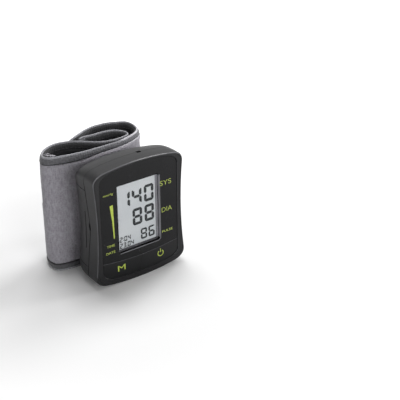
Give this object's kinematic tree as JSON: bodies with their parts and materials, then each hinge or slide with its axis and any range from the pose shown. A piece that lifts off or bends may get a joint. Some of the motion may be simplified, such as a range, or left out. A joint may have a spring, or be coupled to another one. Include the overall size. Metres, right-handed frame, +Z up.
{
  "type": "wrist blood pressure monitor",
  "caption": "Battery powered wrist blood pressure monitor with a segment display, two face keys and a rolled fabric cuff that straps round the wrist.",
  "frame": {"origin": "middle of the module's flat foot, on the surface that the object stands on", "axes": "+Z up along the display, -Y out of the display face, +Y towards the rolled cuff, +X to the right of someone who reads the display"},
  "size_m": [0.0676, 0.0616, 0.0735],
  "materials": {
    "case_plastic": "fine satin texture",
    "fascia_plastic": "satin gloss",
    "window_plastic": "clear moulded plastic",
    "display_glass": "liquid crystal glass",
    "frame_plastic": "white moulded plastic",
    "connector_rubber": "striped silicone",
    "board_laminate": "solder mask on glass fibre",
    "component_plastic": "moulded epoxy",
    "spring_steel": "nickel plated",
    "pump_steel": "drawn steel can",
    "silicone": "translucent silicone",
    "cell_jacket": "printed film sleeve",
    "cover_fabric": "loop knit",
    "lining_fabric": "smooth woven",
    "binding_fabric": "folded tape",
    "stiffener_sheet": "springy plastic sheet",
    "bladder_film": "welded film",
    "hook_nylon": "moulded hook tape"
  },
  "bodies": {
    "monitor": {"front_case": "case_plastic", "rear_case": "case_plastic", "fascia_panel": "fascia_plastic", "display_window": "window_plastic", "lcd_panel": "display_glass", "lcd_frame": "frame_plastic", "lcd_connector": "connector_rubber", "main_board": "board_laminate", "memory_switch": "component_plastic", "power_switch": "component_plastic", "battery_front": "cell_jacket", "battery_rear": "cell_jacket", "battery_minus_contact": "spring_steel", "battery_plus_contact": "spring_steel", "battery_bridge_contact": "spring_steel", "pump_motor": "pump_steel", "pump_head": "component_plastic", "release_valve": "pump_steel", "air_manifold": "silicone", "pressure_sensor": "frame_plastic", "buzzer": "component_plastic", "controller_chip": "component_plastic", "case_screw_1": "spring_steel", "case_screw_2": "spring_steel", "case_screw_3": "spring_steel", "case_screw_4": "spring_steel", "cuff_plate": "case_plastic", "cuff_cover": "cover_fabric", "cuff_lining": "lining_fabric", "cuff_binding_top": "binding_fabric", "cuff_binding_bottom": "binding_fabric", "cuff_stiffener": "stiffener_sheet", "air_bladder": "bladder_film"},
    "memory_key": {"memory_key": "fascia_plastic"},
    "power_key": {"power_key": "fascia_plastic"},
    "battery_cover": {"battery_cover": "case_plastic"},
    "cuff_flap": {"flap_cover": "cover_fabric", "flap_lining": "lining_fabric", "flap_binding_top": "binding_fabric", "flap_binding_bottom": "binding_fabric", "hook_tab": "hook_nylon"}
  },
  "joints": [
    {"name": "memory_press", "type": "slide", "parent": "monitor", "child": "memory_key", "axis": [0, 1, 0], "range_m": [0, 0.0006], "stiffness_N_per_m": 500},
    {"name": "power_press", "type": "slide", "parent": "monitor", "child": "power_key", "axis": [0, 1, 0], "range_m": [0, 0.0006], "stiffness_N_per_m": 500},
    {"name": "battery_cover_slide", "type": "slide", "parent": "monitor", "child": "battery_cover", "axis": [-1, 0, 0], "range_m": [0, 0.012]},
    {"name": "flap_hinge", "type": "hinge", "parent": "monitor", "child": "cuff_flap", "pos_m": [0.02396, 0.04408, 0.035], "axis": [0, 0, -1], "range_deg": [0, 100]}
  ]
}
